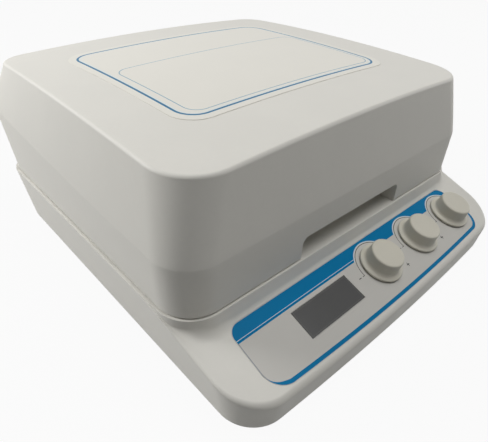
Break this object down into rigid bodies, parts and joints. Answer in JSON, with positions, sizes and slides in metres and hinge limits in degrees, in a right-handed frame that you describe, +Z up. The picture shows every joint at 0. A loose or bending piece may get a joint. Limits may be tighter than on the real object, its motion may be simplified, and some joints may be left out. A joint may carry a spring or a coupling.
{
  "type": "microplate incubator",
  "caption": "Bench-top microplate incubator: deep hinged lid with a finger notch, sloped panel with a display and turning knobs, and a heated tray on an orbiting drive.",
  "frame": {"origin": "on the bench, under the middle of the overall box", "axes": "+Z up, +X to the user's right as they face the panel, -Y towards the user"},
  "size_m": [0.305, 0.327, 0.1482],
  "materials": {
    "shell": "satin moulded, off-white",
    "knob": "satin moulded, warm grey",
    "overlay": "printed film, blue and grey",
    "label": "printed film, cream",
    "window": "clear over dark display",
    "board": "circuit board green",
    "black": "black moulded",
    "rubber": "black rubber",
    "steel": "plated",
    "aluminium": "satin anodised",
    "brass": "turned",
    "silicone": "heater mat, brick red"
  },
  "bodies": {
    "base": {"base_housing": "shell", "bottom_plate": "steel", "bottom_screw_1": "steel", "bottom_screw_2": "steel", "bottom_screw_3": "steel", "bottom_screw_4": "steel", "control_board": "board", "control_overlay": "overlay", "display_module": "black", "display_window": "window", "drive_motor": "black", "encoder_1": "steel", "encoder_2": "steel", "encoder_3": "steel", "foot_1": "rubber", "foot_2": "rubber", "foot_3": "rubber", "foot_4": "rubber", "hinge_bracket_1": "steel", "hinge_bracket_2": "steel", "hinge_pin_1": "steel", "hinge_pin_2": "steel", "idler_bush_1": "brass", "idler_bush_2": "brass", "idler_bush_3": "brass", "idler_bush_4": "brass", "motor_bracket": "steel", "power_board": "board", "power_inlet": "black", "spindle_bearing": "steel", "switch_frame": "black"},
    "lid": {"lid_shell": "shell", "lid_label": "label", "lid_heater_plate": "aluminium", "lid_screw_1": "steel", "lid_screw_2": "steel", "lid_screw_3": "steel", "lid_screw_4": "steel", "hinge_leaf_1": "steel", "hinge_leaf_2": "steel"},
    "knob_1": {"knob_1": "knob", "knob_shaft_1": "brass"},
    "knob_2": {"knob_2": "knob", "knob_shaft_2": "brass"},
    "knob_3": {"knob_3": "knob", "knob_shaft_3": "brass"},
    "drive": {"drive_eccentric": "steel"},
    "tray": {"plate_tray": "aluminium", "heater_pad": "silicone"},
    "idler_1": {"idler_1": "steel"},
    "idler_2": {"idler_2": "steel"},
    "idler_3": {"idler_3": "steel"},
    "idler_4": {"idler_4": "steel"},
    "rocker": {"power_rocker": "black"}
  },
  "joints": [
    {"name": "lid_hinge", "type": "hinge", "parent": "base", "child": "lid", "pos_m": [0, 0.15348, 0.0565], "axis": [-1, 0, 0], "range_deg": [0, 85]},
    {"name": "knob_1_turn", "type": "hinge", "parent": "base", "child": "knob_1", "pos_m": [0.0035, -0.13565, 0.03457], "axis": [0, -0.314, 0.9494], "continuous": true},
    {"name": "knob_2_turn", "type": "hinge", "parent": "base", "child": "knob_2", "pos_m": [0.0535, -0.13565, 0.03457], "axis": [0, -0.314, 0.9494], "continuous": true},
    {"name": "knob_3_turn", "type": "hinge", "parent": "base", "child": "knob_3", "pos_m": [0.1035, -0.13565, 0.03457], "axis": [0, -0.314, 0.9494], "continuous": true},
    {"name": "drive_spin", "type": "hinge", "parent": "base", "child": "drive", "pos_m": [0, 0.0267, 0.0535], "axis": [0, 0, 1], "continuous": true},
    {"name": "tray_pin", "type": "hinge", "parent": "drive", "child": "tray", "pos_m": [0.0015, 0.0267, 0.0629], "axis": [0, 0, 1], "continuous": true},
    {"name": "idler_1_spin", "type": "hinge", "parent": "base", "child": "idler_1", "pos_m": [-0.09496, -0.03328, 0.0535], "axis": [0, 0, 1], "continuous": true},
    {"name": "idler_2_spin", "type": "hinge", "parent": "base", "child": "idler_2", "pos_m": [0.09496, -0.03328, 0.0535], "axis": [0, 0, 1], "continuous": true},
    {"name": "idler_3_spin", "type": "hinge", "parent": "base", "child": "idler_3", "pos_m": [-0.09496, 0.08668, 0.0535], "axis": [0, 0, 1], "continuous": true},
    {"name": "idler_4_spin", "type": "hinge", "parent": "base", "child": "idler_4", "pos_m": [0.09496, 0.08668, 0.0535], "axis": [0, 0, 1], "continuous": true},
    {"name": "rocker_tilt", "type": "hinge", "parent": "base", "child": "rocker", "pos_m": [0.0015, 0.14195, 0.02828], "axis": [1, 0, 0], "range_deg": [0, 14]}
  ],
  "couplings": [
    {"joint": "drive_spin", "follows": "tray_pin", "ratio": -1},
    {"joint": "idler_1_spin", "follows": "tray_pin", "ratio": -1},
    {"joint": "idler_2_spin", "follows": "tray_pin", "ratio": -1},
    {"joint": "idler_3_spin", "follows": "tray_pin", "ratio": -1},
    {"joint": "idler_4_spin", "follows": "tray_pin", "ratio": -1}
  ]
}
